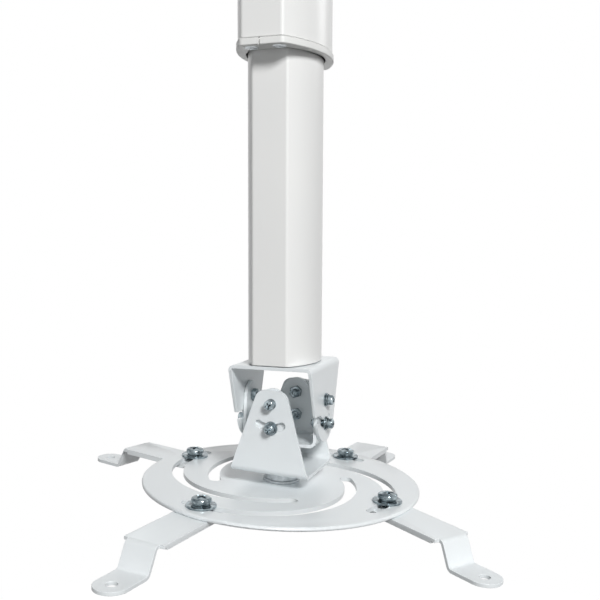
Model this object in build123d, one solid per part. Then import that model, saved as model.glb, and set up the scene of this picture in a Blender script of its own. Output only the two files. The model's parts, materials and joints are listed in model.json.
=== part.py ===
"""Ceiling mount for a projector: a telescopic tube, a tilting head and a round plate with four arms.

Millimetres. The origin is the middle of the ceiling plate's upper face, where the mount meets the
ceiling, and +Z points up, so everything hangs below zero. X runs left to right and Y front to back.
The head below the side-to-side pivot stands a little rolled to one side, as it was left when adjusted.
"""
import math
import os

from build123d import *

# Ceiling plate: a plain flat plate welded on the outer tube, with four screw holes
ceiling_plate_x = 130.0
ceiling_plate_y = 150.0
ceiling_plate_t = 3.0
ceiling_plate_corner_r = 12.0
ceiling_holes_x = 104.0
ceiling_holes_y = 124.0
ceiling_hole_r = 3.5

# Tubes: flat front and back, sides that bulge outwards, rounded corners
inner_flat = 25.2
inner_width = 49.2
inner_depth = 65.0
outer_flat = 29.0
outer_width = 58.5
outer_depth = 94.0
tube_wall = 1.5
tube_corner_r = 3.0
outer_length = 300.0
inner_length = 330.0
inner_shown = 210.3

# Collar that closes the lower end of the outer tube, and the guide bush above it
collar_proud = 1.0
collar_t = 4.5
collar_edge_r = 0.8
guide_clearance = 0.25
bush_length = 60.0
bush_wall_clearance = 0.1
collar_screw_r = 1.75
collar_screw_head_r = 3.6
collar_screw_length = 14.0
collar_screw_x = 8.0
collar_screw_sink = 1.2
collar_seat_clearance = 0.15

# Height lock: two screws through nuts welded on the back of the outer tube
lock_screw_r = 3.0
lock_nut_flats = 10.0
lock_nut_t = 5.0
lock_head_flats = 10.0
lock_head_t = 4.0
lock_heights = (18.0, 44.0)
lock_head_gap = 1.5
lock_hole_clearance = 0.2
lock_tip_gap = 0.15
nut_thread_gap = 0.05

# Upper fork: folded from one strip and welded under the inner tube
sheet = 2.3
bend_r = 1.6
fork_width = 60.6
fork_ledge = 0.25
fork_edge_drop = 3.7
fork_front_half = 22.4
fork_front_drop = 35.0
fork_lobe_r = 19.3
fork_lobe_y = 1.2
fork_lobe_drop = 37.1

# Head: pivot heights, arc slots and the cross bracket between the two forks
tube_above_plate = 87.3
pivot_above_plate = 61.0
tab_gap = 0.3
tab_top_r = 10.5
tab_base_half = 14.5
cross_base_above_plate = 28.4
cross_bend_r = 3.0
lock_radius = 16.9
slot_width = 5.5
tilt_arc_front = 45.0
tilt_arc_back = 31.0
roll_arc = 30.0
roll_as_shown = 2.8

# Lower fork: base and two trapezoid ears with rounded tips
lower_fork_depth = 58.0
ear_base_half = 28.2
ear_foot = 2.5
ear_tip_half = 10.3
ear_tip_above_pivot = 9.3
ear_tip_r = 7.5
base_above_plate = 10.1
lower_bend_r = 3.0

# Head screws: pan head, spring washer and flat washer outside, nut inside
m5_r = 2.5
m5_head_r = 4.3
m5_head_t = 3.2
m5_washer_r = 5.0
m5_washer_t = 1.0
m5_spring_r = 4.2
m5_spring_t = 1.2
m5_nut_flats = 8.0
m5_nut_t = 4.0
m5_tail = 1.5
m5_washer_clearance = 0.15
m5_thread_gap = 0.02
pin_clearance = 0.1

# Spring washers: a straight cut through one side, leaning from the axis
spring_cut_width = 0.5
spring_cut_lean = 35.0

# Hexagons: the cone takes this share of the corner's radius off each corner
hexagon_chamfer = 0.12

# Pan heads: crown, edge rounding and cross recess, as shares of the head's own size
head_crown = 0.14
head_round = 0.40
recess_reach = 0.50
recess_width = 0.20
recess_depth = 0.50

# Swivel stack under the lower fork
swivel_r = 4.0
swivel_head_flats = 13.0
swivel_head_t = 5.3
swivel_nut_flats = 13.0
swivel_nut_t = 8.0
swivel_tail = 1.5
spacer_r = 14.0
big_washer_r = 16.0
big_washer_t = 1.6
small_washer_r = 8.0
small_washer_t = 1.6

# Round plate with four spiral slots, each an arc struck from a centre beside the plate's own
plate_r = 100.0
plate_t = 3.0
plate_rim_r = 1.3
slot_offset = 20.0
slot_arc_r = 67.0
slot_centre_angle = 140.0
slot_start = 158.8
slot_sweep = 146.0
spiral_width = 8.5
plate_bore_r = 4.1

# Clamp bolts that carry the arms: pan head, spring washer, wide washer, nut below the arm
m6_r = 3.0
m6_head_r = 6.1
m6_head_t = 4.2
m6_spring_r = 5.2
m6_spring_t = 1.6
m6_washer_r = 10.3
m6_washer_t = 1.6
m6_washer_clearance = 0.2
m6_thread_gap = 0.02
m6_nut_flats = 10.0
m6_nut_t = 5.0
m6_tail = 1.5

# Arms: a channel with low flanges, then a strip that steps down to a rounded foot
arm_width = 29.0
arm_sheet = 2.4
arm_flange = 3.8
arm_flange_t = 2.4
arm_slide_gap = 0.15
arm_tail = 14.5
arm_reach = 62.0
arm_notch = 3.5
strip_width = 22.0
arm_drop = 15.8
foot_hole_reach = 91.3
foot_r = 11.0
foot_hole_r = 3.5
step_start = 65.0
step_run = 7.5
step_bend_r = 2.4

# Cuts run past the faces they open by this much
cut_margin = 1.0

# Slots in the ears are set out from straight down, in degrees round the pivot
straight_down = 270.0

# The fork is as deep as the tube it carries, with a small ledge for the weld front and back
fork_depth = inner_depth + 2 * fork_ledge

# Heights, worked downwards from the ceiling
collar_bottom = -(ceiling_plate_t + outer_length + collar_t)
fork_top = collar_bottom - inner_shown
plate_top = fork_top - tube_above_plate
pivot_z = plate_top + pivot_above_plate


def tube_outline(flat, width, depth, corner_r, grow=0.0):
    """Section of a tube: flat front and back joined by two outward arcs, grown by a margin."""
    half_flat = flat / 2
    half_depth = depth / 2 + grow
    half_width = width / 2 + grow
    edge_x = half_flat + grow * (half_flat / half_depth)
    with BuildSketch() as section:
        with BuildLine():
            Line((-edge_x, -half_depth), (edge_x, -half_depth))
            ThreePointArc((edge_x, -half_depth), (half_width, 0), (edge_x, half_depth))
            Line((edge_x, half_depth), (-edge_x, half_depth))
            ThreePointArc((-edge_x, half_depth), (-half_width, 0), (-edge_x, -half_depth))
        make_face()
        fillet(section.vertices(), corner_r)
    return section.sketch


def prism(face, bottom, top):
    """A flat section in the XY plane carried from one height to another."""
    return extrude(Pos(0, 0, bottom) * face, top - bottom, dir=(0, 0, 1))


def rod(radius, bottom, top, x=0.0, y=0.0):
    """A round rod along Z between two heights."""
    return Pos(x, y, (bottom + top) / 2) * Cylinder(radius, top - bottom)


def ring(outer_r, inner_r, bottom, top):
    """A plain washer about the Z axis."""
    return rod(outer_r, bottom, top) - rod(inner_r, bottom - cut_margin, top + cut_margin)


def hex_nut(flats, bore_r, bottom, top):
    """A hexagon nut about the Z axis, its corners taken off by a cone above and below."""
    corner_r = flats / math.sqrt(3)
    height = top - bottom
    body = prism(RegularPolygon(corner_r, 6), bottom, top)
    dome = Pos(0, 0, (bottom + top) / 2) * Cylinder(corner_r, height)
    dome = chamfer(dome.edges(), length=hexagon_chamfer * corner_r)
    nut = body & dome
    if bore_r > 0:
        nut -= rod(bore_r, bottom - cut_margin, top + cut_margin)
    return nut


def pan_head_screw(shank_r, head_r, head_t, length):
    """A pan-head screw standing on z = 0: a crowned head with a cross recess above, the shank below."""
    crown = head_crown * head_t
    radius = (head_r**2 + crown**2) / (2 * crown)
    middle = (head_r / 2, head_t - radius + math.sqrt(radius**2 - head_r**2 / 4))
    shoulder = (head_r, head_t - crown)
    with BuildSketch(Plane.XZ) as half:
        with BuildLine():
            Polyline((0, head_t), (0, -length), (shank_r, -length), (shank_r, 0), (head_r, 0), shoulder)
            ThreePointArc(shoulder, middle, (0, head_t))
        make_face()
        rim = half.vertices().sort_by_distance(Vector(*shoulder, 0))[0]
        fillet(rim, head_round * head_t)
    screw = revolve(half.sketch, Axis.Z)
    depth = recess_depth * head_t
    wing = Pos(0, 0, head_t) * Box(2 * recess_reach * head_r, recess_width * head_r, 2 * depth)
    return screw - wing - Rot(0, 0, 90) * wing


def spring_washer(outer_r, bore_r, thickness):
    """A split washer: a ring with a slanting cut through one side."""
    body = ring(outer_r, bore_r, 0, thickness)
    cut = Rot(spring_cut_lean, 0, 0) * Box(outer_r, spring_cut_width, 2 * outer_r)
    return body - Pos((outer_r + bore_r) / 2, 0, thickness / 2) * cut


def arc_slot(centre, radius, width, start, sweep):
    """A curved slot with round ends, in the XY plane, from a start angle over a sweep."""
    half = width / 2
    outer, inner = radius + half, radius - half

    def at(r, angle):
        return (centre[0] + r * math.cos(math.radians(angle)), centre[1] + r * math.sin(math.radians(angle)))

    end, middle = start + sweep, start + sweep / 2
    cap = math.degrees(half / radius)
    with BuildSketch() as face:
        with BuildLine():
            ThreePointArc(at(outer, start), at(outer, middle), at(outer, end))
            ThreePointArc(at(outer, end), at(radius, end + cap), at(inner, end))
            ThreePointArc(at(inner, end), at(inner, middle), at(inner, start))
            ThreePointArc(at(inner, start), at(radius, start - cap), at(outer, start))
        make_face()
    return face.sketch


def side_plate(face, x, thickness):
    """A face drawn as (Y, Z) carried along X, its inner side at x and its thickness outwards."""
    solid = extrude(Plane.YZ * face, thickness, dir=(1, 0, 0))
    return Pos(x, 0, 0) * solid


def front_plate(face, y, thickness):
    """A face drawn as (X, Z) carried along +Y from y."""
    solid = extrude(Plane.XZ * face, thickness, dir=(0, 1, 0))
    return Pos(0, y, 0) * solid


def both_sides(solid):
    """A piece and its copy turned half a turn about the Z axis."""
    return [solid, Rot(0, 0, 180) * solid]


def lean(shape):
    """Roll a piece of the lower head about the front-to-back pivot by the angle shown."""
    return Pos(0, 0, pivot_z) * Rot(0, roll_as_shown, 0) * Pos(0, 0, -pivot_z) * shape


def write(name, *solids):
    """Save one named node as a STEP file."""
    items = [s for group in solids for s in (group if isinstance(group, list) else [group])]
    bodies = [b for item in items for b in item.solids()]
    shape = bodies[0] if len(bodies) == 1 else Compound(children=bodies)
    shape.label = name
    export_step(shape, f"parts/{name}.step")


def ceiling_plate():
    """The plate screwed to the ceiling, its upper face at zero."""
    blank = RectangleRounded(ceiling_plate_x, ceiling_plate_y, ceiling_plate_corner_r)
    plate = prism(blank, -ceiling_plate_t, 0)
    for x in (-ceiling_holes_x / 2, ceiling_holes_x / 2):
        for y in (-ceiling_holes_y / 2, ceiling_holes_y / 2):
            plate -= rod(ceiling_hole_r, -ceiling_plate_t - cut_margin, cut_margin, x, y)
    return plate


def back_hole(height):
    """The hole for a height-lock screw, from inside the inner tube's space out through the back wall."""
    reach = outer_depth / 2 + cut_margin
    start = inner_depth / 2 - cut_margin
    return Pos(0, 0, height) * Rot(-90, 0, 0) * rod(lock_screw_r + lock_hole_clearance, start, reach)


def outer_tube():
    """The fixed tube, open at both ends, with two holes at the back for the height lock."""
    top = -ceiling_plate_t
    bottom = top - outer_length
    outside = prism(tube_outline(outer_flat, outer_width, outer_depth, tube_corner_r), bottom, top)
    bore = tube_outline(outer_flat, outer_width, outer_depth, tube_corner_r - tube_wall / 2, -tube_wall)
    tube = outside - prism(bore, bottom - cut_margin, top + cut_margin)
    for height in lock_heights:
        tube -= back_hole(bottom + height)
    return tube


def inner_tube():
    """The sliding tube, welded on the upper fork at its lower end."""
    bottom = fork_top
    top = bottom + inner_length
    outside = prism(tube_outline(inner_flat, inner_width, inner_depth, tube_corner_r), bottom, top)
    bore = tube_outline(inner_flat, inner_width, inner_depth, tube_corner_r - tube_wall / 2, -tube_wall)
    return outside - prism(bore, bottom - cut_margin, top + cut_margin)


def collar_screw_places():
    """The four collar screws, two at the front and two at the back, midway in the ring's wall."""
    y = (inner_depth + outer_depth) / 4
    return [(x, side * y) for side in (-1, 1) for x in (-collar_screw_x, collar_screw_x)]


def collar():
    """The end ring under the outer tube, a little proud of it, with countersunk screw seats."""
    outline = tube_outline(outer_flat, outer_width, outer_depth, tube_corner_r, collar_proud)
    body = prism(outline, collar_bottom, collar_bottom + collar_t)
    body = fillet(body.edges().group_by(Axis.Z)[0], collar_edge_r)
    hole = tube_outline(inner_flat, inner_width, inner_depth, tube_corner_r, guide_clearance)
    below = collar_bottom - cut_margin
    above = collar_bottom + collar_t + cut_margin
    seat = collar_bottom + collar_screw_sink
    body -= prism(hole, below, above)
    for x, y in collar_screw_places():
        body -= rod(collar_screw_r + pin_clearance, below, above, x, y)
        body -= rod(collar_screw_head_r + collar_seat_clearance, below, seat, x, y)
    return body


def guide_bush():
    """The bush inside the outer tube's end that guides the inner tube and takes the collar screws."""
    bottom = collar_bottom + collar_t
    top = bottom + bush_length
    margin = -tube_wall - bush_wall_clearance
    outside = tube_outline(outer_flat, outer_width, outer_depth, tube_corner_r - tube_wall / 2, margin)
    hole = tube_outline(inner_flat, inner_width, inner_depth, tube_corner_r, guide_clearance)
    bush = prism(outside, bottom, top) - prism(hole, bottom - cut_margin, top + cut_margin)
    thread_end = collar_bottom + collar_screw_length + cut_margin
    for x, y in collar_screw_places():
        bush -= rod(collar_screw_r + nut_thread_gap, bottom - cut_margin, thread_end, x, y)
    for height in lock_heights:
        bush -= back_hole(bottom + height)
    return bush


def collar_screws():
    """Four screws with shallow round heads that hold the collar to the guide bush."""
    screws = []
    for x, y in collar_screw_places():
        seat = collar_bottom + collar_screw_sink
        head = rod(collar_screw_head_r, seat - collar_screw_sink, seat, x, y)
        screws.append(head + rod(collar_screw_r, seat, collar_bottom + collar_screw_length, x, y))
    return screws


def lock_screws_and_nuts():
    """Hexagon screws at the back that press on the inner tube, and the nuts welded round them."""
    bottom = -ceiling_plate_t - outer_length
    face = outer_depth / 2
    tip = inner_depth / 2 + lock_tip_gap
    screws, nuts = [], []
    for height in lock_heights:
        head_at = face + lock_nut_t + lock_head_gap
        shank = rod(lock_screw_r, tip, head_at)
        head = hex_nut(lock_head_flats, 0, head_at, head_at + lock_head_t)
        nut = hex_nut(lock_nut_flats, lock_screw_r + nut_thread_gap, face, face + lock_nut_t)
        turn = Pos(0, 0, bottom + height) * Rot(-90, 0, 0)
        screws.append(turn * (shank + head))
        nuts.append(turn * nut)
    return screws, nuts


def folded_channel(width, depth, height, thickness, radius):
    """A strip folded into an upside-down U: top at z = 0, sides going down, open front and back."""
    with BuildSketch(Plane.XZ) as outer:
        Rectangle(width, height, align=(Align.CENTER, Align.MAX))
        corners = outer.vertices().group_by(Axis.Y)[-1]
        fillet(corners, radius + thickness)
    with BuildSketch(Plane.XZ) as inner:
        with Locations((0, -thickness)):
            Rectangle(width - 2 * thickness, height, align=(Align.CENTER, Align.MAX))
        corners = inner.vertices().group_by(Axis.Y)[-1]
        fillet(corners, radius)
    section = outer.sketch - inner.sketch
    return extrude(section, depth / 2, both=True)


def fork_ear_face():
    """Side view of an upper-fork ear as (Y, Z), with Z down from the fork's top.

    A trapezoid narrows to the pivot, and below it a round lobe carries the tilt slot.
    """
    half = fork_depth / 2
    flank = math.atan2(fork_front_drop - fork_edge_drop, half - fork_front_half)
    touch_y = fork_lobe_y + fork_lobe_r * math.sin(flank)
    touch_z = -fork_lobe_drop - fork_lobe_r * math.cos(flank)
    with BuildSketch() as ear:
        with BuildLine():
            Polyline((-half, cut_margin), (half, cut_margin), (half, -fork_edge_drop), (touch_y, touch_z),
                     (fork_lobe_y, -fork_lobe_drop), (fork_lobe_y - fork_lobe_r, -fork_lobe_drop),
                     (-fork_front_half, -fork_front_drop), (-half, -fork_edge_drop), (-half, cut_margin))
        make_face()
        with Locations((fork_lobe_y, -fork_lobe_drop)):
            Circle(fork_lobe_r)
    return ear.sketch


def tilt_slot_face(z_zero):
    """The tilt slot as (Y, Z): an arc about the pivot that runs out through the ear's front edge."""
    pivot = (0, z_zero + pivot_above_plate - tube_above_plate)
    start = straight_down - tilt_arc_front
    arc = arc_slot(pivot, lock_radius, slot_width, start, tilt_arc_front + tilt_arc_back)
    mouth_y = -lock_radius * math.sin(math.radians(tilt_arc_front))
    mouth_z = pivot[1] - lock_radius * math.cos(math.radians(tilt_arc_front))
    mouth = Pos((mouth_y - fork_depth) / 2, mouth_z) * Rectangle(mouth_y + fork_depth, slot_width)
    return arc + mouth


def upper_fork():
    """The folded fork under the inner tube: a top web and two ears with pivot holes and tilt slots."""
    reach = fork_lobe_drop + fork_lobe_r + cut_margin
    channel = folded_channel(fork_width, fork_depth, reach, sheet, bend_r)
    cheek = side_plate(fork_ear_face(), -fork_width / 2 - cut_margin, fork_width + 2 * cut_margin)
    fork = channel & cheek
    fork -= side_plate(tilt_slot_face(0), -fork_width, 2 * fork_width)
    pivot_drop = pivot_above_plate - tube_above_plate
    fork -= Pos(0, 0, pivot_drop) * Rot(0, 90, 0) * Cylinder(m5_r + pin_clearance, 2 * fork_width)
    return Pos(0, 0, fork_top) * fork


def tab_face(top_r, base_half, base_z, pivot_at):
    """An upright tab: straight flanks from the base that run tangent into a round top about the pivot."""
    rise = pivot_at - base_z
    touch = math.acos(top_r / math.hypot(base_half, rise)) - math.atan2(rise, base_half)
    side_y = top_r * math.cos(touch)
    side_z = pivot_at + top_r * math.sin(touch)
    with BuildSketch() as tab:
        with BuildLine():
            Polyline((-base_half, base_z), (base_half, base_z), (side_y, side_z), (-side_y, side_z),
                     (-base_half, base_z))
        make_face()
        with Locations((0, pivot_at)):
            Circle(top_r)
    return tab.sketch


def cross_size():
    """Outside width across the bracket's left and right tabs, and across its front and back tabs."""
    across = fork_width - 2 * (sheet + tab_gap)
    along = lower_fork_depth - 2 * (sheet + tab_gap)
    return across, along


def cross_bracket():
    """The bracket between the forks: a square base with four upturned tabs, folded from one blank."""
    across, along = cross_size()
    base = plate_top + cross_base_above_plate
    height = pivot_z + tab_top_r + cut_margin - base
    pieces = []
    for width, turn in ((across, 0), (along, 90)):
        channel = folded_channel(width, 2 * tab_base_half, height, sheet, cross_bend_r)
        channel = Pos(0, 0, base) * Rot(180, 0, 0) * channel
        face = tab_face(tab_top_r, tab_base_half, base - cut_margin, pivot_z)
        cheek = side_plate(face, -width / 2 - cut_margin, width + 2 * cut_margin)
        pieces.append(Rot(0, 0, turn) * (channel & cheek))
    bracket = pieces[0] + pieces[1]
    lock_z = pivot_z - lock_radius
    hole = Rot(0, 90, 0) * Cylinder(m5_r + pin_clearance, 2 * lower_fork_depth)
    for z in (pivot_z, lock_z):
        for turn in (0, 90):
            bracket -= Rot(0, 0, turn) * Pos(0, 0, z) * hole
    return bracket


def lower_fork():
    """The fork that carries the plate: a base with two tall trapezoid ears, front and back."""
    base = plate_top + base_above_plate
    height = pivot_z + ear_tip_above_pivot - base
    channel = folded_channel(lower_fork_depth, 2 * ear_base_half, height, sheet, lower_bend_r)
    channel = Pos(0, 0, base) * Rot(180, 0, 90) * channel
    top = base + height
    foot = base - cut_margin
    with BuildSketch() as ear:
        with BuildLine():
            Polyline((-ear_base_half, foot), (ear_base_half, foot), (ear_base_half, base + ear_foot),
                     (ear_tip_half, top), (-ear_tip_half, top), (-ear_base_half, base + ear_foot),
                     (-ear_base_half, foot))
        make_face()
        fillet(ear.vertices().group_by(Axis.Y)[-1], ear_tip_r)
    fork = channel & front_plate(ear.sketch, -lower_fork_depth, 2 * lower_fork_depth)
    slot = arc_slot((0, pivot_z), lock_radius, slot_width, straight_down - roll_arc, 2 * roll_arc)
    fork -= front_plate(slot, -lower_fork_depth, 2 * lower_fork_depth)
    fork -= Pos(0, 0, pivot_z) * Rot(90, 0, 0) * Cylinder(m5_r + pin_clearance, 2 * lower_fork_depth)
    return fork - rod(swivel_r + pin_clearance, foot, base + sheet + cut_margin)


def head_hardware(height, outer_face, inner_face, turn):
    """One screw set at both ends of an axis: screws, spring washers, washers and nuts, in that order."""
    stack = m5_washer_t + m5_spring_t
    grip = outer_face - inner_face
    length = stack + grip + m5_nut_t + m5_tail
    screw = Pos(0, 0, outer_face + stack) * pan_head_screw(m5_r, m5_head_r, m5_head_t, length)
    spring = spring_washer(m5_spring_r, m5_r + pin_clearance, m5_spring_t)
    spring = Pos(0, 0, outer_face + m5_washer_t) * spring
    washer = ring(m5_washer_r, m5_r + m5_washer_clearance, outer_face, outer_face + m5_washer_t)
    nut = hex_nut(m5_nut_flats, m5_r + m5_thread_gap, inner_face - m5_nut_t, inner_face)
    place = Pos(0, 0, height) * Rot(0, 0, turn) * Rot(0, 90, 0)
    return [both_sides(place * piece) for piece in (screw, spring, washer, nut)]


def write_head_sets():
    """The four sets of head screws: tilt pivots and locks at the sides, roll ones front and back."""
    across, along = cross_size()
    tilt_out, tilt_in = fork_width / 2, across / 2 - sheet
    roll_out, roll_in = lower_fork_depth / 2, along / 2 - sheet
    lock_z = pivot_z - lock_radius
    sets = (
        ("tilt_pivot", pivot_z, tilt_out, tilt_in, 0),
        ("tilt_lock", lock_z, tilt_out, tilt_in, 0),
        ("roll_pivot", pivot_z, roll_out, roll_in, 90),
        ("roll_lock", lock_z, roll_out, roll_in, 90),
    )
    for name, height, outer_face, inner_face, turn in sets:
        screws, springs, washers, nuts = head_hardware(height, outer_face, inner_face, turn)
        write(f"{name}_screws", screws)
        write(f"{name}_spring_washers", springs)
        write(f"{name}_washers", washers)
        write(f"{name}_nuts", nuts)


def write_swivel_stack():
    """The bolt on which the plate turns, with its washers, spacer and lock nut."""
    base = plate_top + base_above_plate
    under = plate_top - plate_t
    head_top = under - small_washer_t
    nut_bottom = base + sheet + small_washer_t
    tip = nut_bottom + swivel_nut_t + swivel_tail
    head = hex_nut(swivel_head_flats, 0, head_top - swivel_head_t, head_top)
    bolt = rod(swivel_r, head_top - cut_margin, tip) + head
    bore = swivel_r + pin_clearance
    write("swivel_bolt", lean(bolt))
    write("swivel_bolt_washer", lean(ring(small_washer_r, bore, head_top, under)))
    write("swivel_plate_washer", lean(ring(big_washer_r, bore, plate_top, plate_top + big_washer_t)))
    write("swivel_spacer", lean(ring(spacer_r, bore, plate_top + big_washer_t, base)))
    write("swivel_nut_washer", lean(ring(small_washer_r, bore, base + sheet, nut_bottom)))
    lock_nut = hex_nut(swivel_nut_flats, swivel_r + nut_thread_gap, nut_bottom, nut_bottom + swivel_nut_t)
    write("swivel_lock_nut", lean(lock_nut))


def round_plate():
    """The round plate with a rolled rim edge and four spiral slots."""
    below = plate_top - plate_t - cut_margin
    above = plate_top + cut_margin
    plate = rod(plate_r, plate_top - plate_t, plate_top)
    plate = fillet(plate.edges().filter_by(GeomType.CIRCLE), plate_rim_r)
    centre_angle = math.radians(slot_centre_angle)
    centre = (slot_offset * math.cos(centre_angle), slot_offset * math.sin(centre_angle))
    slot = prism(arc_slot(centre, slot_arc_r, spiral_width, slot_start, slot_sweep), below, above)
    for quarter in range(4):
        plate -= Rot(0, 0, 90 * quarter) * slot
    return plate - rod(plate_bore_r, below, above)


def bolt_place(turn):
    """Plan position of a bolt in the first slot, a turn along the slot from its outer end."""
    a = math.radians(slot_centre_angle)
    b = math.radians(slot_start + turn)
    x = slot_offset * math.cos(a) + slot_arc_r * math.cos(b)
    y = slot_offset * math.sin(a) + slot_arc_r * math.sin(b)
    return x, y


def bent_strip(points, thickness, radius):
    """Side view of a strip bent along a line of points: its upper face on the line, its bends rounded."""
    lower = []
    normals = []
    for (x0, z0), (x1, z1) in zip(points, points[1:]):
        length = math.hypot(x1 - x0, z1 - z0)
        normals.append(((z1 - z0) / length, -(x1 - x0) / length))
    for i, (x, z) in enumerate(points):
        ax, az = normals[max(i - 1, 0)]
        bx, bz = normals[min(i, len(normals) - 1)]
        mitre = thickness / (1 + ax * bx + az * bz)
        lower.append((x + (ax + bx) * mitre, z + (az + bz) * mitre))
    with BuildSketch(Plane.XZ) as side:
        with BuildLine():
            Polyline(*points, *reversed(lower), points[0])
        make_face()
        for i in range(1, len(points) - 1):
            ax, az = normals[i - 1]
            bx, bz = normals[i]
            outer_on_top = ax * bz - az * bx < 0
            pairs = ((points[i], outer_on_top), (lower[i], not outer_on_top))
            for (x, z), outer in pairs:
                corner = side.vertices().sort_by_distance(Vector(x, z, 0))[0]
                fillet(corner, radius + thickness if outer else radius)
    return side.sketch


def arm_blank():
    """One arm along +X with its bolt at the origin and its upper face at z = 0."""
    run_end = foot_hole_reach + foot_r
    path = ((-arm_tail, 0), (step_start, 0), (step_start + step_run, -arm_drop), (run_end, -arm_drop))
    strip = extrude(bent_strip(path, arm_sheet, step_bend_r), arm_width / 2, both=True)
    hub = Circle(arm_width / 2) + Rectangle(arm_reach, arm_width, align=(Align.MIN, Align.CENTER))
    tail = Rectangle(foot_hole_reach, strip_width, align=(Align.MIN, Align.CENTER))
    outline = hub + tail + Pos(foot_hole_reach, 0) * Circle(foot_r)
    arm = strip & prism(outline, -arm_drop - arm_sheet - cut_margin, cut_margin)
    rail = Rectangle(arm_reach - arm_notch, arm_flange_t, align=(Align.MIN, Align.MAX))
    for side in (0, 180):
        edge = Pos(0, arm_width / 2, 0) * prism(rail, -arm_flange, -arm_sheet / 2)
        arm += edge if side == 0 else mirror(edge, Plane.XZ)
    return arm


def write_arms():
    """Four arms with their clamp bolts, each a quarter turn further round the plate."""
    under = plate_top - plate_t - arm_slide_gap
    hole_r = m6_r + pin_clearance
    thread_r = m6_r + m6_thread_gap
    foot_hole = rod(foot_hole_r, -arm_drop - arm_sheet - cut_margin, cut_margin - arm_drop, foot_hole_reach)
    arm = arm_blank() - rod(hole_r, -arm_sheet - cut_margin, cut_margin) - foot_hole
    washer_top = plate_top + m6_washer_t
    spring_top = washer_top + m6_spring_t
    nut_top = under - arm_sheet
    length = spring_top - (nut_top - m6_nut_t - m6_tail)
    pieces = {
        "clamp_bolt": Pos(0, 0, spring_top) * pan_head_screw(m6_r, m6_head_r, m6_head_t, length),
        "clamp_spring_washer": Pos(0, 0, washer_top) * spring_washer(m6_spring_r, hole_r, m6_spring_t),
        "clamp_washer": ring(m6_washer_r, m6_r + m6_washer_clearance, plate_top, washer_top),
        "clamp_nut": hex_nut(m6_nut_flats, thread_r, nut_top - m6_nut_t, nut_top),
    }
    for name, quarter, along, aim in arm_places:
        x, y = bolt_place(along)
        turn = Rot(0, 0, 90 * quarter)
        for piece, solid in pieces.items():
            write(f"{piece}_{name}", lean(turn * Pos(x, y, 0) * solid))
        placed = Pos(x, y, under) * Rot(0, 0, aim) * arm
        write(f"arm_{name}", lean(turn * placed))


# Each arm: its name, its slot in quarter turns, its bolt's place along the slot, and its direction there
arm_places = (
    ("back_left", 0, 11.4, 165.7),
    ("front_left", 1, 10.2, 173.2),
    ("front_right", 2, 20.2, 144.1),
    ("back_right", 3, 10.7, 173.5),
)

os.makedirs("parts", exist_ok=True)
write("ceiling_plate", ceiling_plate())
write("outer_tube", outer_tube())
write("collar", collar())
write("guide_bush", guide_bush())
write("collar_screws", collar_screws())
lock_screws, lock_nuts = lock_screws_and_nuts()
write("height_lock_screws", lock_screws)
write("height_lock_nuts", lock_nuts)
write("inner_tube", inner_tube())
write("upper_fork", upper_fork())
write("cross_bracket", cross_bracket())
write_head_sets()
write("lower_fork", lean(lower_fork()))
write_swivel_stack()
write("round_plate", lean(round_plate()))
write_arms()
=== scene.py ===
# %% [markdown]
# # A telescopic ceiling mount for a projector, piece by piece
#
# The real object hangs from the ceiling: a wide tube with a collar, a slimmer tube that slides in
# it, a head of folded steel forks that tilts and rolls, and a round plate with four arms that turns
# under it. Its sheet metal is white powder coat over steel and its fasteners are zinc plated.
# We dress the CAD model in that order, from the ceiling down. Shapes are drawn in millimetres with
# numpy and become metres only where they are put into a mesh.

import json
import math

import bmesh
import bpy
import numpy as np
from mathutils import Matrix, Vector


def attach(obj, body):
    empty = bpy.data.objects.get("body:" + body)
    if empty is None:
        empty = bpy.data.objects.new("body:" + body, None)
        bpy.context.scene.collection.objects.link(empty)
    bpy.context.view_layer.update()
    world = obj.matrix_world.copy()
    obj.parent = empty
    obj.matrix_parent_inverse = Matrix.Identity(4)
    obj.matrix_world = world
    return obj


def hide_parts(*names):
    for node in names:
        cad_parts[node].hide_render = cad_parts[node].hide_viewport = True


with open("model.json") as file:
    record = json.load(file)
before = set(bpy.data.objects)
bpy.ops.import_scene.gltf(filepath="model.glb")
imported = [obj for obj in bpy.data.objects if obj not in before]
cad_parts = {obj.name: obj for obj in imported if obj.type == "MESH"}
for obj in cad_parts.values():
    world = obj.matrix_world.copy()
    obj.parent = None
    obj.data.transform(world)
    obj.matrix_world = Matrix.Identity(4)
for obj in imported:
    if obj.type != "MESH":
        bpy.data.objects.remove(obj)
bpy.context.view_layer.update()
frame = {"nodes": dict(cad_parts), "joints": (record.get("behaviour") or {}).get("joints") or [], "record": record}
record = frame["record"]
body_of = {node: body for body, nodes in record["behaviour"]["bodies"].items() for node in nodes}

# %% [markdown]
# ## The sizes that the pieces share
#
# The CAD model holds the same numbers, so a new piece lies exactly where its solid is. Heights are
# worked downwards from the ceiling, because that is where the mount is fixed.

# %% Sizes in millimetres
metre = 0.001
ceiling_plate_t = 3.0
inner_flat, inner_width, inner_depth = 25.2, 49.2, 65.0
outer_flat, outer_width, outer_depth = 29.0, 58.5, 94.0
tube_wall, tube_corner_r = 1.5, 3.0
outer_length, inner_length, inner_shown = 300.0, 330.0, 210.3
collar_proud, collar_t = 1.0, 4.5
sheet = 2.3
fork_width = 60.6
lower_fork_depth = 58.0
tab_gap = 0.3
tube_above_plate, pivot_above_plate = 87.3, 61.0
lock_radius = 16.9
base_above_plate = 10.1
plate_t = 3.0
roll_as_shown = 2.8

outer_bottom = -(ceiling_plate_t + outer_length)
collar_bottom = outer_bottom - collar_t
fork_top = collar_bottom - inner_shown
plate_top = fork_top - tube_above_plate
pivot_z = plate_top + pivot_above_plate
print("pivot height", round(pivot_z, 1), "plate height", round(plate_top, 1))

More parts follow.
